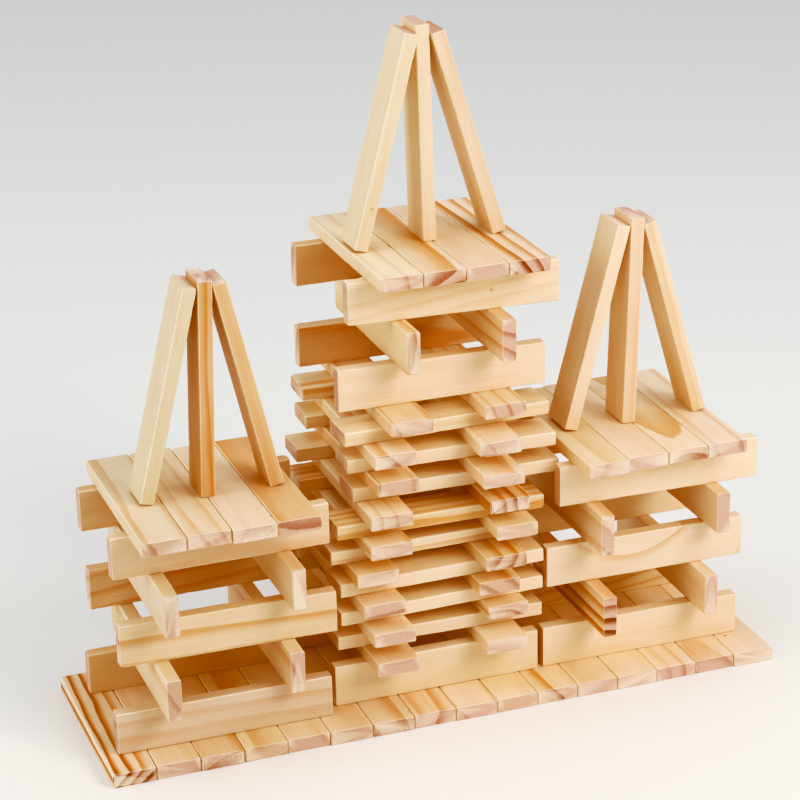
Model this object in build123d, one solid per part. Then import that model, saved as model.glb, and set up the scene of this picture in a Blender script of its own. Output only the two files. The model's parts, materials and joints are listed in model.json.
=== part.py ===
from build123d import *
from math import cos, radians, sin, tan
import os

# A toy castle built from ninety-nine loose pine planks, all cut to one size.
# Every plank simply rests on the ones below it; nothing is glued or pegged.
# X runs along the castle, Y runs from its front to its back, Z is up, in mm.

# ---- the one plank everything is made of ----
PLANK_LENGTH = 120.0
PLANK_WIDTH = 24.0
PLANK_THICKNESS = 8.0
EDGE_BREAK = 0.6            # the sawn edges are eased, cut here as small flats
SANDED_OFF = 0.04           # sanding leaves each plank this much thinner and narrower

# ---- the base, sixteen planks lying side by side ----
BASE_COUNT = 16
BASE_PITCH = 24.2           # width plus the hairline gap between neighbours
BASE_TOP = PLANK_THICKNESS

# ---- heights of the courses ----
TOWER_COURSES = 5           # on-edge courses in each side tower
SIDE_DECK_BOTTOM = BASE_TOP + TOWER_COURSES * PLANK_WIDTH
FLATS_BOTTOM = BASE_TOP + PLANK_WIDTH
FLAT_COURSES = 17           # flat courses in the middle tower
UPPER_RAILS_BOTTOM = FLATS_BOTTOM + FLAT_COURSES * PLANK_THICKNESS
UPPER_RAIL_COURSES = 3
MIDDLE_DECK_BOTTOM = UPPER_RAILS_BOTTOM + UPPER_RAIL_COURSES * PLANK_WIDTH
DECK_PITCH = 24.2

# ---- where the middle of the castle's footprint is, seen from the front
#      left corner of the base; everything is exported from that point ----
FOOTPRINT_CENTRE_X = 193.5
FOOTPRINT_CENTRE_Y = 78.0

os.makedirs("parts", exist_ok=True)


def plank(size_x, size_y, size_z):
    """A plank standing on the origin, with every edge broken."""
    body = Box(size_x, size_y, size_z, align=(Align.CENTER, Align.CENTER, Align.MIN))
    return chamfer(body.edges(), EDGE_BREAK)


SANDED_WIDTH = PLANK_WIDTH - SANDED_OFF
SANDED_THICKNESS = PLANK_THICKNESS - SANDED_OFF
LYING_ACROSS = plank(PLANK_LENGTH, SANDED_WIDTH, SANDED_THICKNESS)
LYING_DEEP = plank(SANDED_WIDTH, PLANK_LENGTH, SANDED_THICKNESS)
EDGEWISE_ACROSS = plank(PLANK_LENGTH, SANDED_THICKNESS, SANDED_WIDTH)
EDGEWISE_DEEP = plank(SANDED_THICKNESS, PLANK_LENGTH, SANDED_WIDTH)
STANDING = plank(SANDED_THICKNESS, SANDED_WIDTH, PLANK_LENGTH)


def lay(shape, left, front, bottom, turn=0.0):
    """Put a plank down by its left and front edges, turned about its middle."""
    size = shape.bounding_box().size
    x = left + size.X / 2 - FOOTPRINT_CENTRE_X
    y = front + size.Y / 2 - FOOTPRINT_CENTRE_Y
    return Pos(x, y, bottom) * Rot(0, 0, turn) * shape


def save(name, pieces):
    pieces = list(pieces)
    shape = pieces[0] if len(pieces) == 1 else Compound(children=pieces)
    export_step(shape, f"parts/{name}.step")


# ---- base ----
# How far each base plank's front end stands back from the front line.
BASE_SET_BACK = [0.0, 0.4, 0.0, 0.6, 0.9, 0.2, 0.4, 0.8, 0.2, 0.5, 0.8, 0.5, 0.2, 0.6, 0.9, 0.3]
save("base_planks", [
    lay(LYING_DEEP, BASE_PITCH * i, BASE_SET_BACK[i], 0.0) for i in range(BASE_COUNT)
])

# ---- rails that stand on the base, a front and a back one under each tower ----
save("ground_rails", [
    lay(EDGEWISE_ACROSS, 8.5, 19.0, BASE_TOP, -0.4),
    lay(EDGEWISE_ACROSS, 11.0, 92.5, BASE_TOP, -0.3),
    lay(EDGEWISE_ACROSS, 133.0, 27.0, BASE_TOP),
    lay(EDGEWISE_ACROSS, 134.0, 101.0, BASE_TOP, 0.3),
    lay(EDGEWISE_ACROSS, 256.5, 27.0, BASE_TOP, -0.6),
    lay(EDGEWISE_ACROSS, 258.0, 98.0, BASE_TOP),
])


def edge_course(level):
    return BASE_TOP + level * PLANK_WIDTH


# ---- left tower: rails on edge, every course across the one below ----
save("left_rails_2", [
    lay(EDGEWISE_DEEP, 32.0, 0.5, edge_course(1)),
    lay(EDGEWISE_DEEP, 102.0, 7.0, edge_course(1)),
])
save("left_rails_3", [
    lay(EDGEWISE_ACROSS, 14.0, 24.0, edge_course(2), -1.0),
    lay(EDGEWISE_ACROSS, 16.0, 99.5, edge_course(2)),
])
save("left_rails_4", [
    lay(EDGEWISE_DEEP, 33.5, 2.0, edge_course(3)),
    lay(EDGEWISE_DEEP, 104.5, 7.5, edge_course(3)),
])
save("left_rails_5", [
    lay(EDGEWISE_ACROSS, 14.0, 31.5, edge_course(4), 0.4),
    lay(EDGEWISE_ACROSS, 13.5, 98.0, edge_course(4), -0.4),
])
save("left_deck", [
    lay(LYING_DEEP, 23.5 + DECK_PITCH * i, set_back, SIDE_DECK_BOTTOM)
    for i, set_back in enumerate([1.5, 1.8, 0.0, 0.8])
])

# ---- right tower, the same build ----
save("right_rails_2", [
    lay(EDGEWISE_DEEP, 283.0, 4.0, edge_course(1)),
    lay(EDGEWISE_DEEP, 347.5, 8.0, edge_course(1), -0.3),
])
save("right_rails_3", [
    lay(EDGEWISE_ACROSS, 259.5, 28.5, edge_course(2), -0.5),
    lay(EDGEWISE_ACROSS, 260.5, 97.0, edge_course(2), 0.4),
])
save("right_rails_4", [
    lay(EDGEWISE_DEEP, 283.0, 8.0, edge_course(3)),
    lay(EDGEWISE_DEEP, 355.0, 11.0, edge_course(3)),
])
save("right_rails_5", [
    lay(EDGEWISE_ACROSS, 266.9, 27.0, edge_course(4), -1.2),
    lay(EDGEWISE_ACROSS, 262.5, 99.5, edge_course(4)),
])
save("right_deck", [
    lay(LYING_DEEP, 274.8 + DECK_PITCH * i, set_back, SIDE_DECK_BOTTOM)
    for i, set_back in enumerate([6.0, 7.8, 8.1, 8.4])
])

# ---- middle tower: flat courses, laid deep and across by turns ----
# Each entry is (left edge, front edge, turn in degrees).
DEEP_LEFT = [
    (151.0, 6.5, 0.0), (150.0, 10.0, 0.5), (146.0, 14.0, 0.4), (145.5, 20.0, -0.5),
    (152.0, 18.0, 0.4), (154.5, 20.5, -0.6), (160.0, 27.5, 0.4), (160.0, 27.0, -1.0),
    (170.0, 30.5, 0.0),
]
DEEP_RIGHT = [
    (215.5, 9.0, 0.0), (218.5, 18.0, 1.2), (215.0, 17.5, -0.5), (217.0, 13.5, 0.0),
    (225.5, 16.0, -0.8), (220.5, 16.5, 0.2), (217.5, 15.5, -0.6), (219.5, 21.5, -2.0),
    (226.0, 34.0, -0.6),
]
ACROSS_FRONT = [
    (136.5, 29.5, -0.7), (137.0, 28.0, 1.6), (138.0, 29.5, 1.0), (136.0, 37.0, 0.0),
    (139.0, 32.5, -0.7), (152.0, 42.5, -1.3), (150.5, 43.5, -2.7), (148.5, 47.0, 1.3),
]
ACROSS_BACK = [
    (138.5, 98.0, 0.4), (138.5, 102.0, -0.4), (139.5, 99.5, 0.6), (138.5, 104.0, -0.6),
    (140.0, 103.0, 0.3), (141.5, 107.5, -1.8), (150.0, 114.5, -2.0), (149.5, 118.5, -1.2),
]
for i, (left, front, turn) in enumerate(DEEP_LEFT):
    bottom = FLATS_BOTTOM + 2 * i * PLANK_THICKNESS
    save(f"deep_left_{i + 1}", [lay(LYING_DEEP, left, front, bottom, turn)])
for i, (left, front, turn) in enumerate(DEEP_RIGHT):
    bottom = FLATS_BOTTOM + 2 * i * PLANK_THICKNESS
    save(f"deep_right_{i + 1}", [lay(LYING_DEEP, left, front, bottom, turn)])
for i, (left, front, turn) in enumerate(ACROSS_FRONT):
    bottom = FLATS_BOTTOM + (2 * i + 1) * PLANK_THICKNESS
    save(f"across_front_{i + 1}", [lay(LYING_ACROSS, left, front, bottom, turn)])
for i, (left, front, turn) in enumerate(ACROSS_BACK):
    bottom = FLATS_BOTTOM + (2 * i + 1) * PLANK_THICKNESS
    save(f"across_back_{i + 1}", [lay(LYING_ACROSS, left, front, bottom, turn)])

# ---- middle tower: three courses on edge and a deck above the flats ----
save("upper_rails_1", [
    lay(EDGEWISE_ACROSS, 149.5, 56.0, UPPER_RAILS_BOTTOM, -0.8),
    lay(EDGEWISE_ACROSS, 151.5, 131.0, UPPER_RAILS_BOTTOM),
])
save("upper_rails_2", [
    lay(EDGEWISE_DEEP, 181.5, 35.0, UPPER_RAILS_BOTTOM + PLANK_WIDTH, -0.3),
    lay(EDGEWISE_DEEP, 236.0, 33.5, UPPER_RAILS_BOTTOM + PLANK_WIDTH, -0.4),
])
save("upper_rails_3", [
    lay(EDGEWISE_ACROSS, 156.5, 55.0, UPPER_RAILS_BOTTOM + 2 * PLANK_WIDTH, -2.8),
    lay(EDGEWISE_ACROSS, 151.5, 132.0, UPPER_RAILS_BOTTOM + 2 * PLANK_WIDTH, 0.3),
])
save("middle_deck", [
    lay(LYING_DEEP, 167.8 + DECK_PITCH * i, set_back, MIDDLE_DECK_BOTTOM)
    for i, set_back in enumerate([36.0, 35.4, 35.3, 35.6])
])


# ---- the peaks: a post standing on each deck, with a leg leaning in on each side ----
FOOT = PLANK_THICKNESS / 2 - EDGE_BREAK     # middle of a foot to the edge it stands on
TOUCH_GAP = 0.05


def tip_reach(lean):
    """How far a leaning leg's top comes in past the edge of its foot."""
    tilt = radians(lean)
    return EDGE_BREAK * cos(tilt) + (PLANK_LENGTH - EDGE_BREAK) * sin(tilt)


def tip_height(lean):
    tilt = radians(lean)
    return (PLANK_LENGTH - EDGE_BREAK) * cos(tilt) - EDGE_BREAK * sin(tilt)


def stand(edge_x, centre_y, deck_top, lean):
    """A plank on end, leaning to +X by lean degrees over one edge of its foot."""
    side = 1.0 if lean > 0 else -1.0
    tipped = Rot(0, lean, 0) * Pos(-side * FOOT, 0, 0) * STANDING
    return Pos(edge_x - FOOTPRINT_CENTRE_X, centre_y - FOOTPRINT_CENTRE_Y, deck_top) * tipped


def peak(name, deck_top, post_x, depths, post_lean, left_lean, right_lean):
    side = 1.0 if post_lean > 0 else -1.0
    tilt = radians(post_lean)
    edge = post_x + side * FOOT
    half = PLANK_THICKNESS / 2
    left_face = edge + (-half - side * FOOT) / cos(tilt) + tip_height(left_lean) * tan(tilt)
    right_face = edge + (half - side * FOOT) / cos(tilt) + tip_height(right_lean) * tan(tilt)
    left_edge = left_face - TOUCH_GAP - tip_reach(left_lean)
    right_edge = right_face + TOUCH_GAP + tip_reach(right_lean)
    save(f"{name}_leg_left", [stand(left_edge, depths[0], deck_top, left_lean)])
    save(f"{name}_post", [stand(edge, depths[1], deck_top, post_lean)])
    save(f"{name}_leg_right", [stand(right_edge, depths[2], deck_top, -right_lean)])


SIDE_DECK_TOP = SIDE_DECK_BOTTOM + PLANK_THICKNESS
MIDDLE_DECK_TOP = MIDDLE_DECK_BOTTOM + PLANK_THICKNESS
peak("left", SIDE_DECK_TOP, 72.0, (59.0, 58.0, 58.0), 1.9, 14.2, 12.9)
peak("middle", MIDDLE_DECK_TOP, 214.5, (93.0, 98.0, 95.5), -1.1, 15.2, 16.7)
peak("right", SIDE_DECK_TOP, 320.4, (67.5, 66.5, 67.5), 2.1, 15.2, 15.8)
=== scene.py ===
import json
import math
import random

import bpy
import numpy as np
from mathutils import Matrix, Vector


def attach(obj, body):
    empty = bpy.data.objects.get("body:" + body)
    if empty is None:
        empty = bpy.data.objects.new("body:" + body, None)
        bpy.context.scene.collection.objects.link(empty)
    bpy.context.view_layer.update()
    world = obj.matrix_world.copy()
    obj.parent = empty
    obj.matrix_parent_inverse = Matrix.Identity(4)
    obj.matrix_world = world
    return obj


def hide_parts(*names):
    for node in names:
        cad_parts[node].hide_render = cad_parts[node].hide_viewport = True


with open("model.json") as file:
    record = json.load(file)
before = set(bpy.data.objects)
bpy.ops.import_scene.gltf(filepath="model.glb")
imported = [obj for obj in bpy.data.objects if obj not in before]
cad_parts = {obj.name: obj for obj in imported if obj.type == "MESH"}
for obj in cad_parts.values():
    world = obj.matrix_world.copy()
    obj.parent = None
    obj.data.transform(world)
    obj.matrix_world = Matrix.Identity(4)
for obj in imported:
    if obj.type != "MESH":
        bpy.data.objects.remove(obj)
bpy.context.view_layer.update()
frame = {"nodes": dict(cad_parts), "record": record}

MM = 0.001           # the meshes are worked out in millimetres and written in metres
SEED = "pine castle"

# The photograph's camera, aimed from the front left: angles in degrees, lengths in millimetres.
AZIMUTH, ELEVATION, ROLL = -19.72, 21.40, -1.23
CAMERA_DISTANCE = 1422.0
CAMERA_TARGET = (4.4, 15.8, 154.8)
SENSOR, LENS = 36.0, 114.5

# How the picture answers green and blue light: points (light in, light out) of two curves.
GREEN_RESPONSE = ((0.18, 0.105), (0.36, 0.32), (0.55, 0.57))
BLUE_RESPONSE = ((0.10, 0.010), (0.23, 0.135), (0.47, 0.51))
LIGHT_BOUNCES = 8    # enough for the planks to light each other deep in the stack

# The room: each light's place in metres, width, watts and colour. All are aimed at the castle's middle.
CASTLE_MIDDLE = (0.0, 0.0, 0.16)
LIGHTS = {
    "key": ((0.74, -1.18, 1.11), 0.96, 12.6, (1.0, 0.97, 0.92)),
    "sky": ((-0.1, 0.1, 2.0), 1.4, 5.8, (0.95, 1.0, 1.04)),
    "fill": ((-2.4, -0.15, 1.02), 1.85, 21.0, (1.0, 0.98, 0.92)),
}
ROOM_COLOUR, ROOM_STRENGTH = (0.985, 1.0, 1.0, 1.0), 0.58
FLOOR_COLOUR, FLOOR_ROUGHNESS, FLOOR_GLOSS = (0.88, 0.85, 0.81, 1.0), 0.85, 0.2
FLOOR_HALF = 6.0     # metres from the floor's middle to its edges


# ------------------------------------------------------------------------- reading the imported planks
SPOTS_PER_MM = 1000      # corner points that round to the same spot are one point
DECIMALS = 3
TOWER_SPACING = 125.0    # roughly the distance from tower to tower, in millimetres
MOSTLY = 0.7             # a direction with more than this of an axis runs along it


def separate_solids(node):
    """The corner points of each separate plank in a CAD node."""
    mesh = frame["nodes"][node].data
    points = np.array([v.co for v in mesh.vertices], float) / MM
    leader = list(range(len(points)))

    def lead(i):
        while leader[i] != i:
            leader[i] = leader[leader[i]]
            i = leader[i]
        return i

    first_here = {}
    for i, point in enumerate(points):
        spot = tuple(np.round(point * SPOTS_PER_MM).astype(int))
        leader[lead(i)] = lead(first_here.setdefault(spot, i))
    for edge in mesh.edges:
        leader[lead(edge.vertices[0])] = lead(edge.vertices[1])
    members = {}
    for i in range(len(points)):
        members.setdefault(lead(i), []).append(i)
    return [np.unique(np.round(points[group], DECIMALS), axis=0) for group in members.values()]


def plank_place(points):
    """Where a plank lies: its centre, the directions of its length, width and thickness, and its size."""
    spread = np.cov((points - points.mean(0)).T)
    directions = np.linalg.eigh(spread)[1].T[::-1]
    for k, direction in enumerate(directions):
        if direction[np.argmax(np.abs(direction))] < 0:
            directions[k] = -direction
    along = points @ directions.T
    low, high = along.min(0), along.max(0)
    return ((low + high) / 2) @ directions, directions, high - low


def node_planks(node):
    """The planks of a node: tower by tower from the front if they run across, and from the left if not."""
    places = [plank_place(points) for points in separate_solids(node)]

    def order(place):
        centre, directions, _ = place
        runs_across = abs(directions[0][0]) > MOSTLY
        tower = round(centre[0] / TOWER_SPACING) if runs_across else centre[0]
        return (tower, centre[1])

    return sorted(places, key=order)


# ------------------------------------------------------------------------------------ plank geometry
# Lengths are in millimetres. A pair of numbers is a range that each plank draws from.
EDGE_RADIUS = 0.75       # the eased long edges
EDGE_VARIES = (0.8, 1.25)
END_RADIUS = 0.45        # the ends are eased less
END_ANGLES = (0, 30, 60, 90)
FIRST_STATION = 1.8      # from the end to the first section that is all plank
ARC_STEPS = 4
WIDE_STEPS, THIN_STEPS, LONG_STEPS = 6, 2, 52
EDGE_MIDDLE = 0.99       # only the middle point of a rounded edge is this much on the edge
# The eased edges are sanded unevenly, in two waves along the plank: their unit, mean and radians per mm.
SANDING, SANDING_BASE = 0.05, 1.2
LONG_WAVE, SHORT_WAVE, SHORT_SHARE = 0.11, 0.37, 0.6
BOW = 0.03               # the most that a plank bends, flat and on edge
# Dents: how many, how far they reach and how deep they are.
EDGE_DENTS, EDGE_DENT_REACH, EDGE_DENT_DEPTH = 8, (0.8, 2.6), (0.08, 0.3)
EDGE_DENT_SPAN = 0.48    # as far as this from the middle, as a share of the length
END_DENTS, END_DENT_REACH, END_DENT_DEPTH = 3, (0.8, 1.6), (0.1, 0.5)


def section(width, thick, radius):
    """A rounded rectangle's points, the direction outwards at each, and 1 in the middle of an edge."""
    points, outward, on_edge = [], [], []
    sides = [(1, 1, WIDE_STEPS, width), (-1, 1, THIN_STEPS, thick),
             (-1, -1, WIDE_STEPS, width), (1, -1, THIN_STEPS, thick)]
    for quarter, (side_y, side_z, steps, run) in enumerate(sides):
        centre = np.array([side_y * (width / 2 - radius), side_z * (thick / 2 - radius)])
        for k in range(ARC_STEPS + 1):
            angle = math.radians(90.0 * (quarter + k / ARC_STEPS))
            direction = np.array([math.cos(angle), math.sin(angle)])
            points.append(centre + radius * direction)
            outward.append(direction)
            on_edge.append(math.sin(math.pi * k / ARC_STEPS))
        along = np.array([-direction[1], direction[0]])
        for k in range(1, steps):
            points.append(centre + radius * direction + along * (run - 2 * radius) * k / steps)
            outward.append(direction)
            on_edge.append(0.0)
    return np.array(points), np.array(outward), np.array(on_edge)


def section_places(length):
    """Where the sections lie along a plank, how far each is drawn in, and its share of end grain."""
    ends = [(END_RADIUS * (1 - math.cos(a)), END_RADIUS * (1 - math.sin(a)), math.cos(a))
            for a in (math.radians(d) for d in END_ANGLES)]
    inner = [(x, 0.0, 0.0) for x in np.linspace(FIRST_STATION, length / 2, LONG_STEPS // 2)]
    half = ends + inner
    stations = [(-length / 2 + x, inset, capped) for x, inset, capped in half]
    stations += [(length / 2 - x, inset, capped) for x, inset, capped in reversed(half[:-1])]
    return stations


def draw_dents(length, corners, rng):
    """Small dents along the edges and knocks at the ends: place, corner of the section, reach and depth."""
    dents = [(rng.uniform(-EDGE_DENT_SPAN, EDGE_DENT_SPAN) * length, rng.choice(corners),
              rng.uniform(*EDGE_DENT_REACH), rng.uniform(*EDGE_DENT_DEPTH)) for _ in range(EDGE_DENTS)]
    dents += [(rng.choice((-0.5, 0.5)) * length, rng.choice(corners),
               rng.uniform(*END_DENT_REACH), rng.uniform(*END_DENT_DEPTH)) for _ in range(END_DENTS)]
    return dents


def skin_faces(rows, count):
    """Quads between each section and the next, and one face over each end."""
    faces = [(r * count + k, r * count + (k + 1) % count,
              (r + 1) * count + (k + 1) % count, (r + 1) * count + k)
             for r in range(rows - 1) for k in range(count)]
    faces.append(tuple(reversed(range(count))))
    faces.append(tuple(range((rows - 1) * count, rows * count)))
    return faces


def plank_mesh(name, size, rng):
    """A sawn and sanded plank: eased edges that wander a little, small dents and knocked corners."""
    length, width, thick = size
    radius = EDGE_RADIUS * rng.uniform(*EDGE_VARIES)
    outline, outward, on_edge = section(width, thick, radius)
    count = len(outline)
    corners = [k for k in range(count) if on_edge[k] > EDGE_MIDDLE]
    stations = section_places(length)
    dents = draw_dents(length, corners, rng)
    phases = [rng.uniform(0, 2 * math.pi) for _ in range(2)]
    bow, crook = rng.uniform(-BOW, BOW), rng.uniform(-BOW, BOW)

    rows = []
    for x, inset, _ in stations:
        wander = SANDING * (SANDING_BASE + math.sin(LONG_WAVE * x + phases[0])
                            + SHORT_SHARE * math.sin(SHORT_WAVE * x + phases[1]))
        depth = inset + wander * on_edge
        for at, corner, reach, deep in dents:
            near = np.linalg.norm(outline - outline[corner], axis=1)
            depth = depth + deep * math.exp(-((x - at) / reach) ** 2) * np.exp(-(near / reach) ** 2)
        bend = (2 * x / length) ** 2 - 0.5
        row = outline - outward * depth[:, None] + np.array([crook, bow]) * bend
        rows.append(np.column_stack([np.full(count, x), row]))
    points = np.concatenate(rows)

    mesh = bpy.data.meshes.new(name)
    mesh.from_pydata((points * MM).tolist(), [], skin_faces(len(rows), count))
    mesh.shade_smooth()
    end_share = np.repeat([capped for _, _, capped in stations], count)
    # edge_share marks the eased edges, which the material paints paler for sanding wear and a painted
    # highlight
    edge_share = np.maximum(np.tile(on_edge, len(rows)), 4 * end_share * (1 - end_share))
    return mesh, points, end_share, edge_share
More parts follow.
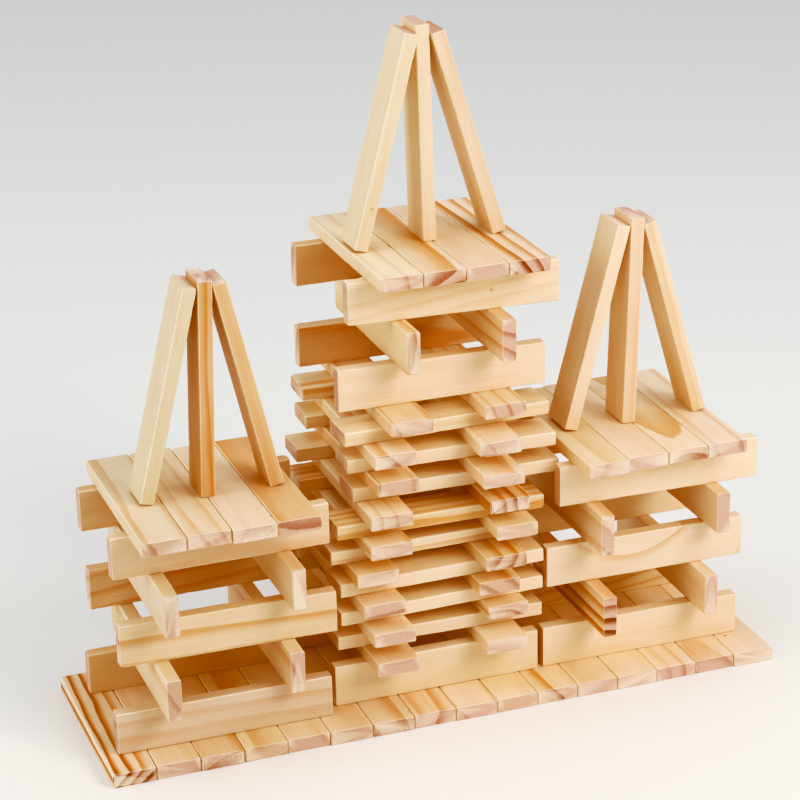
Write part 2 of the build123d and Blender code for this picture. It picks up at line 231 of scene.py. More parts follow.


# ---------------------------------------------------------------------------------- how each plank was cut, and where shade is painted
# Lengths are in mm from the plank's middle, angles in degrees. A plank's width and thickness point
# right, back or up, whichever way it lies.
#   turn    which way the rings face across the plank: 0 along its width, 90 along its thickness
#   ring    distance between rings            band    where a dark band lies along turn
#   pith    distance to the log's centre      slope   how far the rings climb per mm of length
#   late    the dark share of a ring          stripe  how strong the dark bands are
#   tone    brightness                        warm    below 0 yellow, above 0 pink
#   heart   share of orange heartwood         bend    how fast the rings curve, and where along the length
#    heart   the log's orange heart, plus painted shade   bend    how fast the rings curve, and where along the length
GRAINS = {
    "base_plank_01": dict(turn=135, ring=5.1, band=4.4, pith=80, late=0.4, stripe=2.0, slope=0.003,
                          warm=0.6, tone=0.95),
    "base_plank_02": dict(turn=20, ring=13, band=9, late=0.2, stripe=0.15, warm=0.6, tone=0.95),
    "base_plank_03": dict(turn=110, ring=11, band=0.8, late=0.5, stripe=0.85, heart=0.2, warm=0.4,
                          tone=0.92),
    "base_plank_04": dict(turn=120, ring=13, band=6.5, late=0.4, stripe=0.7, heart=0.15, tone=0.98),
    "base_plank_05": dict(turn=60, ring=16, band=-9, late=0.2, stripe=0.3, warm=0.4, tone=0.95),
    "base_plank_06": dict(turn=80, ring=14, band=7, late=0.3, stripe=0.3, heart=0.1, tone=0.96),
    "base_plank_07": dict(turn=20, ring=17, band=7, late=0.42, stripe=0.75, heart=0.1, tone=0.95),
    "base_plank_08": dict(turn=160, ring=12, band=-1, late=0.35, stripe=0.75, heart=0.2),
    "base_plank_09": dict(turn=35, ring=18, band=-5.5, late=0.1, stripe=0.5, tone=1.02),
    "base_plank_10": dict(turn=75, ring=15, band=8, late=0.2, stripe=0.12, tone=1.02),
    "base_plank_11": dict(turn=45, ring=16, band=0.7, late=0.13, stripe=0.85, slope=0.015, tone=1.02),
    "base_plank_12": dict(turn=95, ring=12, band=6, late=0.2, stripe=0.2, tone=1.02),
    "base_plank_13": dict(turn=70, ring=14, band=-6, late=0.2, stripe=0.18, tone=1.03),
    "base_plank_14": dict(turn=10, ring=9.5, band=-4.5, late=0.3, stripe=0.45, tone=1.03),
    "base_plank_15": dict(turn=75, ring=12, band=1.5, pith=26, late=0.35, stripe=0.6, slope=0.07,
                          heart=0.02, tone=1.02),
    "base_plank_16": dict(turn=85, ring=13, band=-7, late=0.15, stripe=0.1, tone=1.03,
                          knot=(-37, -6.4, 4, 0.9)),
    "left_deck_plank_1": dict(turn=25, ring=18, band=-3.6, late=0.2, stripe=0.5, slope=-0.01, warm=-0.1,
                              tone=0.92),
    "left_deck_plank_2": dict(turn=30, ring=9, band=-2, late=0.25, stripe=0.4, warm=0.1, tone=0.97),
    "left_deck_plank_3": dict(turn=140, ring=12, band=6, late=0.2, stripe=0.25, warm=0.3, tone=0.97),
    "left_deck_plank_4": dict(turn=262, ring=11.5, band=1.0, pith=45, late=0.6, stripe=1.0, heart=0.18,
                              tone=0.96),
    "middle_deck_plank_1": dict(turn=15, ring=10, band=3, late=0.3, stripe=0.4, warm=-0.3, tone=1.0),
    "middle_deck_plank_2": dict(turn=300, ring=13.5, band=1.3, pith=45, late=0.6, stripe=1.2, slope=0.003),
    "middle_deck_plank_3": dict(turn=75, ring=14, band=7, late=0.25, stripe=0.2, warm=0.4, tone=0.99),
    "middle_deck_plank_4": dict(turn=35, ring=7.0, band=-2.4, pith=40, late=0.42, stripe=1.3, heart=0.06),
    "right_deck_plank_1": dict(turn=150, ring=15, band=5, late=0.3, stripe=0.45),
    "right_deck_plank_2": dict(turn=85, ring=14, band=-7, late=0.2, stripe=0.12, tone=1.02),
    "right_deck_plank_3": dict(turn=97, ring=14, band=11.2, pith=20, late=0.5, stripe=0.75, slope=-0.17,
                               tone=1.02),
    "right_deck_plank_4": dict(turn=15, ring=15, band=-4.5, late=0.2, stripe=0.5, slope=-0.012, warm=0.5),
    "ground_rail_left_front": dict(turn=12, ring=8.6, band=-3.4, late=0.5, stripe=0.42, slope=0.015,
                                   warm=1.0, tone=0.86),
    # heart partly paints the shade on this back rail
    "ground_rail_left_back": dict(turn=80, ring=12, band=6, late=0.3, stripe=0.3, heart=0.32, tone=0.97),
    "ground_rail_middle_front": dict(turn=80, ring=15, band=8, late=0.2, stripe=0.12),
    "ground_rail_right_front": dict(turn=80, ring=15, band=8, late=0.2, stripe=0.14, tone=1.03, warm=0.2),
    "ground_rail_right_back": dict(turn=20, ring=6, band=0, late=0.3, stripe=0.6, slope=-0.12, heart=0.1),
    "left_rail_2_left": dict(turn=60, ring=14, band=1, late=0.2, stripe=0.4, heart=0.08, warm=-0.3,
                             tone=0.91),
    "left_rail_2_right": dict(turn=75, ring=15, band=-1.5, pith=40, late=0.15, stripe=0.8, heart=0.08,
                              tone=0.96),
    "left_rail_3_front": dict(turn=8, ring=14, band=3.2, late=0.3, stripe=0.55, slope=0.02, tone=0.95),
    # heart partly paints the shade on this back rail
    "left_rail_3_back": dict(turn=30, ring=9, band=2, late=0.3, stripe=0.5, slope=-0.08, heart=0.32,
                             tone=0.96),
    "left_rail_4_left": dict(turn=100, ring=15, band=8, late=0.2, stripe=0.15, warm=0.3, tone=0.89),
    "left_rail_4_right": dict(turn=60, ring=14, band=9, late=0.2, stripe=0.2, heart=0.1, tone=0.97),
    "left_rail_5_front": dict(turn=70, ring=13, band=-6, late=0.2, stripe=0.2, tone=0.95),
    "right_rail_2_left": dict(turn=8, ring=7.6, band=-1, late=0.5, stripe=1.3, slope=0.01, heart=0.15,
                              tone=1.01),
    # heart partly paints the deep orange shade on this rail's left face
    "right_rail_2_right": dict(turn=80, ring=14, band=8, late=0.2, stripe=0.15, heart=0.08, warm=0.2),
    "right_rail_3_front": dict(turn=0, ring=60, band=2.0, pith=90, late=0.07, stripe=0.42,
                               bend=(-0.012, -8), warm=0.5),
    # heart on these two partly paints the deep orange shade on their left faces
    "right_rail_4_left": dict(turn=40, ring=9, band=1, late=0.3, stripe=0.5, slope=0.03, heart=0.05),
    "right_rail_4_right": dict(turn=80, ring=14, band=7, late=0.2, stripe=0.2, heart=0.12),
    "right_rail_5_front": dict(turn=85, ring=16, band=9, late=0.2, stripe=0.1, tone=1.03, warm=0.2),
    "upper_rail_1_front": dict(turn=75, ring=16, band=-7, late=0.3, stripe=0.2, warm=0.3, tone=1.02),
    # heart partly paints the shade under the deck
    "upper_rail_1_back": dict(turn=80, ring=11, band=-2, pith=24, late=0.35, stripe=0.6, slope=0.06,
                              heart=0.26, tone=0.96),
    "upper_rail_2_left": dict(turn=100, ring=14, band=0.5, late=0.2, stripe=0.5, warm=-0.5),
    # heart partly paints the deep orange shade on this rail's left face
    "upper_rail_2_right": dict(turn=30, ring=9, band=-5, late=0.3, stripe=0.6, slope=0.02, heart=0.17),
    "upper_rail_3_front": dict(turn=10, ring=8, band=7, late=0.4, stripe=0.22, slope=-0.13, warm=-0.1,
                               tone=1.02, knot=(21, -0.9, -4, 0.45)),
    # heart and tone partly paint the shade under the deck
    "upper_rail_3_back": dict(turn=70, ring=12, band=4, late=0.3, stripe=0.3, heart=0.45, tone=0.95),
    "left_leg_left_plank": dict(turn=85, ring=15, band=9, late=0.15, stripe=0.1, warm=-0.6, tone=0.87),
    "left_leg_right_plank": dict(turn=85, ring=9, band=1, late=0.5, stripe=0.2, heart=0.42, tone=0.94),
    "left_post_plank": dict(turn=100, ring=5.5, band=0, late=0.4, stripe=0.4, heart=0.6, warm=0.7,
                            tone=0.93),
    "middle_leg_left_plank": dict(turn=80, ring=16, band=9, late=0.15, stripe=0.1, warm=-0.6,
                                  knot=(-36, -12, 0.5, 0.5), tone=0.94),
    "middle_leg_right_plank": dict(turn=85, ring=13, band=-7, late=0.3, stripe=0.25, heart=0.12, warm=0.3,
                                   tone=0.98),
    "middle_post_plank": dict(turn=95, ring=14, band=8, late=0.2, stripe=0.15, warm=0.1, tone=0.98),
    "right_leg_left_plank": dict(turn=80, ring=15, band=9, late=0.2, stripe=0.12, heart=0.06, tone=1.01),
    "right_leg_right_plank": dict(turn=85, ring=12, band=1, late=0.35, stripe=0.35, heart=0.1, warm=-0.1),
    "right_post_plank": dict(turn=85, ring=13, band=4, late=0.35, stripe=0.2, heart=0.14),
    # heart partly paints the shadow cast by the plank above
    "deep_left_1_plank": dict(turn=85, ring=12, band=7, late=0.3, stripe=0.15, heart=0.16, warm=0.5,
                              tone=0.98),
    "deep_left_2_plank": dict(turn=70, ring=14, band=8, late=0.2, stripe=0.15, warm=0.3),
    "deep_left_3_plank": dict(turn=95, ring=13, band=-0.5, late=0.3, stripe=0.5, warm=0.5),
    "deep_left_4_plank": dict(turn=60, ring=14, band=9, late=0.3, stripe=0.2, heart=0.28, warm=-0.3),
    "deep_left_5_plank": dict(turn=45, ring=18, band=-6.4, late=0.12, stripe=0.6),
    "deep_left_6_plank": dict(turn=5, ring=9, band=-5.5, late=0.25, stripe=0.5),
    "deep_left_7_plank": dict(turn=0, ring=19, band=-9.3, late=0.14, stripe=0.6, heart=0.1),
    "deep_left_8_plank": dict(turn=45, ring=20, band=1.2, late=0.18, stripe=1.0),
    "deep_left_9_plank": dict(turn=20, ring=18, band=-6, late=0.12, stripe=0.6, heart=0.18, warm=0.3),
    "deep_right_1_plank": dict(turn=80, ring=15, band=8, late=0.2, stripe=0.12, tone=1.02),
    "deep_right_2_plank": dict(turn=75, ring=12, band=1.5, pith=28, late=0.14, stripe=0.8, warm=0.3),
    "deep_right_3_plank": dict(turn=50, ring=11, band=-4, late=0.35, stripe=0.5, heart=0.15),
    "deep_right_4_plank": dict(turn=330, ring=8.5, band=4.3, late=0.45, stripe=1.2, heart=0.25, tone=0.98),
    "deep_right_5_plank": dict(turn=85, ring=14, band=7, late=0.2, stripe=0.15, warm=-0.5, tone=1.02),
    "deep_right_6_plank": dict(turn=10, ring=7.4, band=-2.6, late=0.4, stripe=1.15, heart=0.28, tone=0.97),
    "deep_right_7_plank": dict(turn=50, ring=20, band=8.1, late=0.3, stripe=0.8, warm=0.5),
    "deep_right_8_plank": dict(turn=30, ring=16, band=-4, late=0.1, stripe=0.35, warm=0.4, tone=1.01),
    "deep_right_9_plank": dict(turn=20, ring=8.5, band=-6, late=0.2, stripe=0.6, tone=1.01),
    "across_front_5_plank": dict(turn=20, ring=6, band=1, late=0.45, stripe=0.8, heart=0.25),
    "across_back_5_plank": dict(turn=25, ring=6.5, band=1, late=0.45, stripe=0.7, heart=0.3),
    # heart and tone partly paint the deck's shadow
    "left_rail_5_back": dict(turn=80, ring=13, band=6, late=0.3, stripe=0.3, heart=0.35, tone=0.96),
    "right_rail_5_back": dict(turn=70, ring=13, band=-5, late=0.3, stripe=0.3, heart=0.15),
    "right_rail_3_back": dict(turn=80, ring=14, band=7, late=0.2, stripe=0.15, tone=1.04, heart=0.0),
}
PLAIN_GRAIN = dict(turn=80, ring=13, band=7, late=0.25, stripe=0.2, warm=0.2, tone=1.03, heart=0.0)
GRAINS.update({f"across_front_{course}_plank": PLAIN_GRAIN for course in (2, 3, 6, 7)})


def grain_of(name, rng):
    """The plank's own grain, with painted shade on some planks, or where it doesn't matter, one such as any
    sawmill gives.
    """
    grain = dict(
        turn=rng.choice((0, 30, 60, 80, 90, 100, 120, 150)) + rng.choice((0, 180)) + rng.uniform(-10, 10),
        ring=rng.uniform(6, 16),
        band=rng.uniform(-6, 6),
        pith=rng.uniform(30, 100),
        slope=rng.uniform(-0.02, 0.02),
        late=rng.uniform(0.15, 0.4),
        stripe=rng.choice((0.15, 0.2, 0.3, 0.5, 0.8)),
        tone=rng.uniform(0.98, 1.02),
        warm=rng.uniform(-0.4, 0.6),
        heart=rng.choice((0.0, 0.0, 0.05, 0.15)),
        bend=(0.0, 0.0),
        knot=None,
    )
    grain.update(GRAINS.get(name, {}))
    return grain


NO_KNOT = (500.0, 500.0, 500.0)      # so far off, in knot radii, that nothing shows
NOISE_SPREAD = 400.0                 # each plank takes its noise from a place up to this far off, in mm
RING_SEEDS = 100


def add_grain(mesh, points, end_share, edge_share, grain, rng):
    """Writes what the pine material reads at each point."""
    turn = math.radians(grain["turn"])
    facing = np.array([math.cos(turn), math.sin(turn)])
    x = points[:, 0]
    curve, middle = grain["bend"]
    climb = grain["slope"] * x + curve * (x - middle) ** 2
    across = points[:, 1:] + facing * (grain["pith"] + climb[:, None] - grain["band"])
    shift = grain["pith"] / grain["ring"]
    log = np.column_stack([np.full(len(x), 1.0 / grain["ring"]), across / grain["ring"]])
    offset = [rng.uniform(-NOISE_SPREAD, NOISE_SPREAD) for _ in range(3)]
    knot = grain["knot"]
    to_knot = (points - np.array(knot[:3])) / knot[3] if knot else np.tile(NO_KNOT, (len(points), 1))
    count = len(points)
    ring_seed = rng.uniform(0, RING_SEEDS)
    layers = {
        "pine_log": log,
        "pine_fibre": points + np.array(offset),
        "pine_look": np.tile([grain["stripe"], grain["late"], grain["tone"]], (count, 1)),
        "pine_kind": np.tile([grain["warm"], shift - math.floor(shift), ring_seed], (count, 1)),
        "pine_knot": to_knot,
        "pine_face": np.column_stack([end_share, edge_share, np.full(count, grain["heart"])]),
    }
    for layer, values in layers.items():
        attribute = mesh.attributes.new(layer, "FLOAT_VECTOR", "POINT")
        attribute.data.foreach_set("vector", values.astype(np.float32).ravel())


# --------------------------------------------------------------------------------------- the pine material
def srgb(red, green, blue):
    """An 8-bit display colour as the linear colour that a shader takes."""
    def linear(value):
        share = value / 255.0
        return share / 12.92 if share <= 0.04045 else ((share + 0.055) / 1.055) ** 2.4
    return (linear(red), linear(green), linear(blue), 1.0)


class Nodes:
    """Short names for building a shader's node tree."""

    def __init__(self, material):
        self.tree = material.node_tree
        self.tree.nodes.clear()

    def add(self, kind, inputs=(), **settings):
        node = self.tree.nodes.new("ShaderNode" + kind)
        for setting, value in settings.items():
            setattr(node, setting, value)
        for socket, value in dict(inputs).items():
            self.set(node.inputs[socket], value)
        return node

    def set(self, socket, value):
        if isinstance(value, bpy.types.NodeSocket):
            self.tree.links.new(value, socket)
        else:
            socket.default_value = value

    def math(self, operation, *values, clamp=False):
        node = self.add("Math", operation=operation, use_clamp=clamp)
        for socket, value in zip(node.inputs, values):
            self.set(socket, value)
        return node.outputs[0]

    def vector(self, operation, *values):
        node = self.add("VectorMath", operation=operation)
        for socket, value in zip(node.inputs, values):
            self.set(socket, value)
        return node.outputs["Value" if operation == "LENGTH" else "Vector"]

    def attribute(self, name):
        return self.add("Attribute", attribute_name=name).outputs["Vector"]

    def parts(self, vector):
        node = self.add("SeparateXYZ", {"Vector": vector})
        return node.outputs[0], node.outputs[1], node.outputs[2]

    def noise(self, vector, detail, rough):
        node = self.add("TexNoise", {"Vector": vector, "Scale": 1.0, "Detail": detail, "Roughness": rough})
        return node.outputs["Fac"]

    def span(self, value, low, high, to_low=0.0, to_high=1.0, smooth=True):
        kind = "SMOOTHSTEP" if smooth else "LINEAR"
        node = self.add("MapRange", {"Value": value, "From Min": low, "From Max": high,
                                     "To Min": to_low, "To Max": to_high}, interpolation_type=kind)
        return node.outputs["Result"]

    def mix(self, share, one, other, blend="MIX"):
        """Sockets 0, 6 and 7 are a Mix node's share and its two colours, and output 2 is its colour."""
        node = self.add("Mix", data_type="RGBA", blend_type=blend)
        for socket, value in zip((node.inputs[0], node.inputs[6], node.inputs[7]), (share, one, other)):
            self.set(socket, value)
        return node.outputs[2]


# The wood's colours. A shade of 0 is the pale one, 1 the dark one, and DEEPEST the deep one.
EARLYWOOD, LATEWOOD, DEEP_BAND = srgb(240, 219, 189), srgb(216, 154, 100), srgb(178, 114, 68)
END_EARLY, END_LATE, END_DEEP = srgb(219, 185, 164), srgb(179, 121, 101), srgb(128, 78, 54)
DEEPEST = 1.5
RESIN = srgb(176, 112, 56)
KNOTWOOD, AROUND_KNOT = srgb(168, 110, 70), srgb(208, 146, 90)
# the eased edges' colour: sanding wear, and a painted highlight where light catches the arrises
RUBBED_EDGE_AND_HIGHLIGHT = srgb(248, 232, 204)
YELLOW_TINT, PINK_TINT = (1.0, 1.0, 0.93, 1.0), (1.0, 0.94, 0.985, 1.0)

# The wood's noises, drawn out along the fibres: spots per mm along and across, octaves and roughness.
NOISES = {
    "wander": (0.012, 0.055, 2.0, 0.5),
    "tremble": (0.05, 0.35, 2.0, 0.5),
    "streak": (0.02, 1.1, 3.0, 0.6),
    "hair": (0.06, 4.5, 2.0, 0.6),
    "cloud": (0.02, 0.09, 2.0, 0.5),
    "pores": (0.5, 1.8, 4.0, 0.8),
    "fuzz": (0.2, 0.5, 3.0, 0.6),
}
# How they shade the long faces or the ends: the value that leaves the shade alone, and the strength.
FACE_SHADES = {"streak": (0.5, 0.42), "hair": (0.5, 0.10), "cloud": (0.45, 0.5)}
END_SHADES = {"pores": (0.5, 1.2), "fuzz": (0.45, 0.45)}
END_STRIPE, LEAST_END_STRIPE = 1.2, 0.1    # the bands on the ends: 1.2 of the plank's stripe, plus 0.1
COMMON_NOISE = (0.3, 0.7)                  # nearly all of a noise's values lie between these

# The growth rings. A place in a ring runs from 0 on its inside to 1.
RING_WANDER, RING_TREMBLE = 4.4, 0.9       # how far two of the noises bend the rings, in mm
BAND_PEAK, BAND_PLACE = 0.86, 0.9          # where a band is darkest, and the place at the grain's band
BAND_START, BAND_RISE = 1.6, 1.3           # the band's start before its peak, in late shares, and its curve
BAND_FALL = 0.12                           # the most of a ring that a band takes to end
WEAKEST_RING = 0.45                        # the strongest is 1
KNOT_PUSH, KNOT_FADE = 0.55, 0.12          # how far a knot pushes the rings out, and how fast that fades

# Resin ducts, knots, and eased edges painted paler for sanding wear and a painted highlight: where each one
# starts and ends, and how strong it is.
DUCT_STRETCH, DUCT_EDGE, DUCT_STRENGTH = (0.09, 0.85, 0.85), (0.05, 0.13), 0.3
DUCT_BAND, DUCTS_OUTSIDE_BAND = 0.5, 0.35
KNOT_EDGE, KNOT_STRENGTH = (0.55, 1.1), 0.7
HALO_EDGE, HALO_STRENGTH = (1.0, 3.2), 0.3
EDGE_WEAR_AND_HIGHLIGHT = (0.45, 0.85)

# The surface: roughness along the faces and how much the ends add, and the heights that the bump has.
FACE_ROUGHNESS, END_ROUGHNESS, GLOSS = (0.46, 0.6), 0.18, 0.35
HAIR_HEIGHT, BAND_HEIGHT, PORE_HEIGHT = 0.35, 0.3, 1.6
BUMP_STRENGTH, BUMP_DEPTH = 0.35, 0.12


def fibre_noises(n):
    """All the noises, and the ducts as the distance to the nearest one."""
    fibre = n.attribute("pine_fibre")
    noises = {}
    for kind, (along, across, detail, rough) in NOISES.items():
        stretched = n.vector("MULTIPLY", fibre, (along, across, across))
        noises[kind] = n.noise(stretched, detail, rough)
    ducts = n.add("TexVoronoi", {"Vector": n.vector("MULTIPLY", fibre, DUCT_STRETCH), "Scale": 1.0,
                                 "Randomness": 1.0})
    noises["duct"] = ducts.outputs["Distance"]
    return noises


def ring_radius(n, noises, rings_per_mm, log, knot, ring_shift):
    """The distance from the log's centre in rings, bent by noise and pushed outwards by a knot."""
    wander = n.math("MULTIPLY_ADD", noises["wander"], RING_WANDER, -RING_WANDER / 2)
    tremble = n.math("MULTIPLY_ADD", noises["tremble"], RING_TREMBLE, -RING_TREMBLE / 2)
    bent = n.math("MULTIPLY", n.math("ADD", wander, tremble), rings_per_mm)
    near_knot = n.math("EXPONENT", n.math("MULTIPLY", n.math("POWER", knot, 2.0), -KNOT_FADE))
    pushed = n.math("MULTIPLY", near_knot, KNOT_PUSH)
    straight = n.vector("LENGTH", n.vector("MULTIPLY", log, (0.0, 1.0, 1.0)))
    radius = n.math("ADD", straight, n.math("SUBTRACT", BAND_PLACE, ring_shift))
    return n.math("ADD", radius, n.math("ADD", bent, pushed))


def ring_bands(n, noises, knot, late, ring_shift, ring_seed):
    """How dark the growth rings are, from 0 to 1: each ring darkens slowly outwards and ends sharply."""
    log = n.attribute("pine_log")
    rings_per_mm = n.parts(log)[0]
    radius = ring_radius(n, noises, rings_per_mm, log, knot, ring_shift)
    phase = n.math("FRACT", radius)
    number = n.math("ADD", n.math("FLOOR", radius), ring_seed)
    chance = n.add("TexWhiteNoise", {"W": number}, noise_dimensions="1D").outputs["Value"]
    strength = n.span(chance, 0.0, 1.0, WEAKEST_RING, 1.0, smooth=False)
    start = n.math("SUBTRACT", BAND_PEAK, n.math("MULTIPLY", late, BAND_START))
    rise = n.math("POWER", n.span(phase, start, BAND_PEAK), BAND_RISE)
    end = n.math("ADD", BAND_PEAK, n.math("MINIMUM", rings_per_mm, BAND_FALL))
    fall = n.span(phase, BAND_PEAK, end, 1.0, 0.0)
    return n.math("MULTIPLY", n.math("MULTIPLY", rise, fall), strength)


def add_noises(n, shade, noises, shades):
    """The shade, made lighter and darker by the noises that the table of shades names."""
    for kind, (middle, strength) in shades.items():
        change = n.math("MULTIPLY", n.math("SUBTRACT", noises[kind], middle), strength)
        shade = n.math("ADD", shade, change)
    return shade


def wood_colour(n, shade, pale, dark, deep):
    """From pale over dark to deep as the shade goes from 0 over 1 to DEEPEST."""
    colour = n.mix(n.math("ADD", shade, 0.0, clamp=True), pale, dark)
    return n.mix(n.span(shade, 1.0, DEEPEST, smooth=False), colour, deep)


def long_face(n, noises, band, stripe, heartwood_and_shade):
    """The long faces: dark bands, streaks along the fibres, cloudy patches and dark flecks of resin."""
    shade = add_noises(n, n.math("MULTIPLY", band, stripe), noises, FACE_SHADES)
    # adding the heart value paints the log's orange heart, and on planks that lie in shade it paints shade
    # too
    colour = wood_colour(n, n.math("ADD", shade, heartwood_and_shade), EARLYWOOD, LATEWOOD, DEEP_BAND)
    duct = n.math("MULTIPLY", n.span(noises["duct"], *DUCT_EDGE, 1.0, 0.0),
                  n.span(band, 0.0, DUCT_BAND, DUCTS_OUTSIDE_BAND, 1.0))
    return n.mix(n.math("MULTIPLY", duct, DUCT_STRENGTH), colour, RESIN)


def end_face(n, noises, band, stripe):
    """The ends: pinker and darker, with open pores and the fuzz that a saw leaves."""
    end_stripe = n.math("MULTIPLY_ADD", stripe, END_STRIPE, LEAST_END_STRIPE)
    shade = add_noises(n, n.math("MULTIPLY", band, end_stripe), noises, END_SHADES)
    return wood_colour(n, shade, END_EARLY, END_LATE, END_DEEP)


def tinted(n, colour, warm, tone):
    """The plank's own tint and brightness."""
    tint = n.mix(n.span(warm, -1.0, 1.0, smooth=False), YELLOW_TINT, PINK_TINT)
    bright = n.add("HueSaturation", {"Value": tone, "Color": n.mix(1.0, colour, tint, "MULTIPLY")})
    return bright.outputs["Color"]


def knotted(n, colour, knot):
    """The plank's knot and the darker wood around it."""
    halo = n.math("MULTIPLY", n.span(knot, *HALO_EDGE, 1.0, 0.0), HALO_STRENGTH)
    heart = n.math("MULTIPLY", n.span(knot, *KNOT_EDGE, 1.0, 0.0), KNOT_STRENGTH)
    return n.mix(heart, n.mix(halo, colour, AROUND_KNOT), KNOTWOOD)


def bump_normal(n, noises, band, end):
    """Fine ridges along the fibres, raised dark bands, and open pores on the ends."""
    ridges = n.math("ADD", n.math("MULTIPLY", noises["hair"], HAIR_HEIGHT),
                    n.math("MULTIPLY", band, BAND_HEIGHT))
    pores = n.math("MULTIPLY", n.math("MULTIPLY", noises["pores"], end), PORE_HEIGHT)
    bump = n.add("Bump", {"Height": n.math("ADD", ridges, pores), "Strength": BUMP_STRENGTH,
                          "Distance": BUMP_DEPTH * MM})
    return bump.outputs["Normal"]


def pine_material(name):
    """Planed pine that reads how each plank was cut, with its painted shade and edge highlight, from the
    layers that add_grain writes.
    """
    material = bpy.data.materials.new(name)
    material.use_nodes = True
    n = Nodes(material)
    stripe, late, tone = n.parts(n.attribute("pine_look"))
    warm, ring_shift, ring_seed = n.parts(n.attribute("pine_kind"))
    # the heart value brings the log's orange heart, and on planks in shade it carries painted shade
    end, edge, heartwood_and_shade = n.parts(n.attribute("pine_face"))
    knot = n.vector("LENGTH", n.attribute("pine_knot"))
    noises = fibre_noises(n)
    band = ring_bands(n, noises, knot, late, ring_shift, ring_seed)

    colour = n.mix(end, long_face(n, noises, band, stripe, heartwood_and_shade), end_face(n, noises, band, stripe))
    colour = knotted(n, tinted(n, colour, warm, tone), knot)
    # the eased edges are painted paler: partly sanding wear, partly a painted highlight
    wear_and_highlight = n.math("MULTIPLY", edge, n.span(noises["streak"], *COMMON_NOISE, *EDGE_WEAR_AND_HIGHLIGHT))
    colour = n.mix(wear_and_highlight, colour, RUBBED_EDGE_AND_HIGHLIGHT)
    rough = n.math("ADD", n.span(noises["hair"], *COMMON_NOISE, *FACE_ROUGHNESS),
                   n.math("MULTIPLY", end, END_ROUGHNESS))
    shader = n.add("BsdfPrincipled", {"Base Color": colour, "Roughness": rough,
                                      "Normal": bump_normal(n, noises, band, end),
                                      "Specular IOR Level": GLOSS})
    output = n.add("OutputMaterial")
    n.tree.links.new(shader.outputs["BSDF"], output.inputs["Surface"])
    return material


# ------------------------------------------------------------------------------------- building the castle
def piece_names(node, count):
    """A name for each plank of a node, in the order of node_planks."""
    if node == "base_planks":
        return [f"base_plank_{i + 1:02d}" for i in range(count)]
    if node == "ground_rails":
        return [f"ground_rail_{tower}_{row}"
                for tower in ("left", "middle", "right") for row in ("front", "back")]
    if node.endswith("_deck"):
        return [f"{node}_plank_{i + 1}" for i in range(count)]
    if count == 2:
        tower, course = node.split("_rails_")
        runs_across = int(course) % 2 == 1
        sides = ("front", "back") if runs_across else ("left", "right")
        return [f"{tower}_rail_{course}_{side}" for side in sides]
    return [f"{node}_plank"]


SLOTS = {"base": "base_pine", "rails": "rail_pine", "deck": "deck_pine", "deep": "deep_pine",
         "across": "across_pine"}
NORMAL_WEIGHT = 80


def slot_of(node):
    """The material slot of a node's planks, by a word in its name; posts and legs have the peaks' slot."""
    return next((slot for word, slot in SLOTS.items() if word in node), "peak_pine")


def build_plank(name, place, node, body, material):
    """One plank's mesh, laid exactly where the CAD plank lies."""
    centre, directions, size = place
    rng = random.Random(f"{SEED} {name}")
    mesh, points, end_share, edge_share = plank_mesh(name, size, rng)
    add_grain(mesh, points, end_share, edge_share, grain_of(name, rng), rng)
    turn = np.eye(4)
    turn[:3, :3] = directions.T
    turn[:3, 3] = centre * MM
    mesh.transform(Matrix(turn.tolist()))
    if np.linalg.det(directions) < 0:
        mesh.flip_normals()
    mesh.materials.append(material)
    plank = bpy.data.objects.new(name, mesh)
    bpy.context.scene.collection.objects.link(plank)
    plank.modifiers.new("even_normals", "WEIGHTED_NORMAL").weight = NORMAL_WEIGHT
    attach(plank, body)
    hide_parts(node)


def build_castle():
    materials = {}
    for body, nodes in frame["record"]["behaviour"]["bodies"].items():
        for node in nodes:
            slot = slot_of(node)
            if slot not in materials:
                materials[slot] = pine_material(slot)
            places = node_planks(node)
            for name, place in zip(piece_names(node, len(places)), places, strict=True):
                build_plank(name, place, node, body, materials[slot])


# ----------------------------------------------------------------------------------------- room and camera
def add_floor():
    corners = [(-1, -1), (1, -1), (1, 1), (-1, 1)]
    mesh = bpy.data.meshes.new("floor")
    mesh.from_pydata([(x * FLOOR_HALF, y * FLOOR_HALF, 0) for x, y in corners], [], [(0, 1, 2, 3)])
    floor = bpy.data.objects.new("floor", mesh)
    material = bpy.data.materials.new("pale_floor")
    material.use_nodes = True
    shader = material.node_tree.nodes["Principled BSDF"]
    shader.inputs["Base Color"].default_value = FLOOR_COLOUR
    shader.inputs["Roughness"].default_value = FLOOR_ROUGHNESS
    shader.inputs["Specular IOR Level"].default_value = FLOOR_GLOSS
    mesh.materials.append(material)
    bpy.context.scene.collection.objects.link(floor)


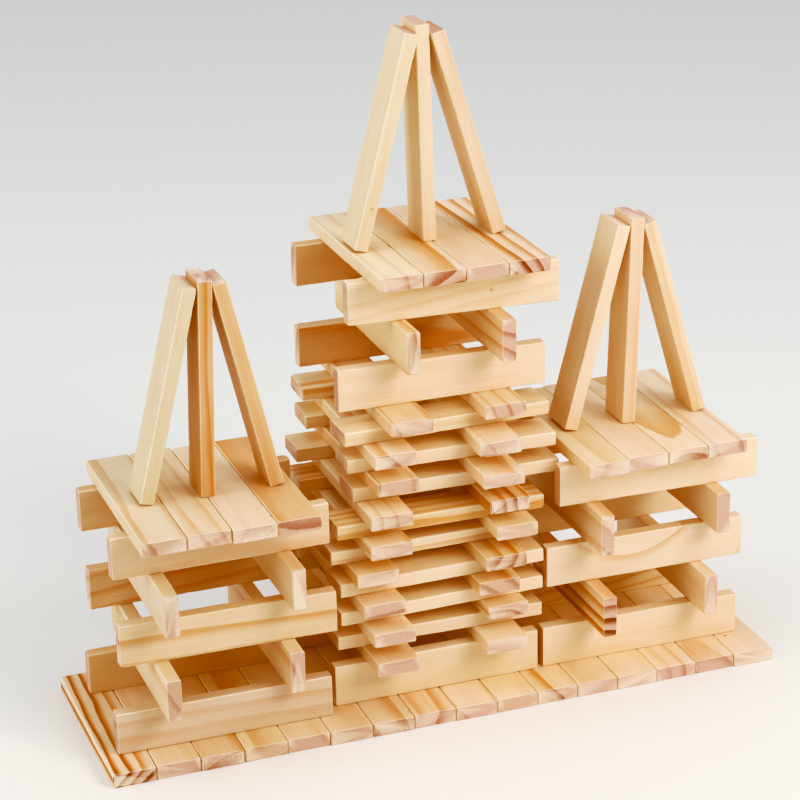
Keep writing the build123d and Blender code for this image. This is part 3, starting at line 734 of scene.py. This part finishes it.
def add_light(name, place, size, watts, colour):
    data = bpy.data.lights.new(name, "AREA")
    data.shape = "DISK"
    data.size = size
    data.energy = watts
    data.color = colour
    light = bpy.data.objects.new(name, data)
    light.location = place
    light.rotation_euler = (Vector(CASTLE_MIDDLE) - Vector(place)).to_track_quat("-Z", "Y").to_euler()
    bpy.context.scene.collection.objects.link(light)


def add_lights():
    world = bpy.data.worlds.new("soft_room")
    bpy.context.scene.world = world
    world.use_nodes = True
    background = world.node_tree.nodes["Background"]
    background.inputs["Color"].default_value = ROOM_COLOUR
    background.inputs["Strength"].default_value = ROOM_STRENGTH
    for name, (place, size, watts, colour) in LIGHTS.items():
        add_light(name, place, size, watts, colour)


def add_camera():
    azimuth, elevation, roll = (math.radians(a) for a in (AZIMUTH, ELEVATION, ROLL))
    back = Vector((math.sin(azimuth) * math.cos(elevation), -math.cos(azimuth) * math.cos(elevation),
                   math.sin(elevation)))
    level = Vector((math.cos(azimuth), math.sin(azimuth), 0.0))
    above = back.cross(level)
    right = math.cos(roll) * level + math.sin(roll) * above
    up = -math.sin(roll) * level + math.cos(roll) * above
    place = (Vector(CAMERA_TARGET) + back * CAMERA_DISTANCE) * MM
    data = bpy.data.cameras.new("photo_camera")
    data.sensor_width = SENSOR
    data.lens = LENS
    camera = bpy.data.objects.new("photo_camera", data)
    axes = Matrix((right, up, back)).transposed().to_4x4()
    camera.matrix_world = Matrix.Translation(place) @ axes
    bpy.context.scene.collection.objects.link(camera)
    bpy.context.scene.camera = camera


def set_colour_response():
    """A photographic response: shadows between the planks turn a deep warm orange, lit faces stay pale."""
    view = bpy.context.scene.view_settings
    view.view_transform = "Standard"
    view.use_curve_mapping = True
    for curve, points in zip(view.curve_mapping.curves[1:3], (GREEN_RESPONSE, BLUE_RESPONSE)):
        for place, height in points:
            curve.points.new(place, height)
    view.curve_mapping.update()


add_camera()
add_floor()
add_lights()
build_castle()
set_colour_response()
bpy.context.scene.cycles.diffuse_bounces = LIGHT_BOUNCES
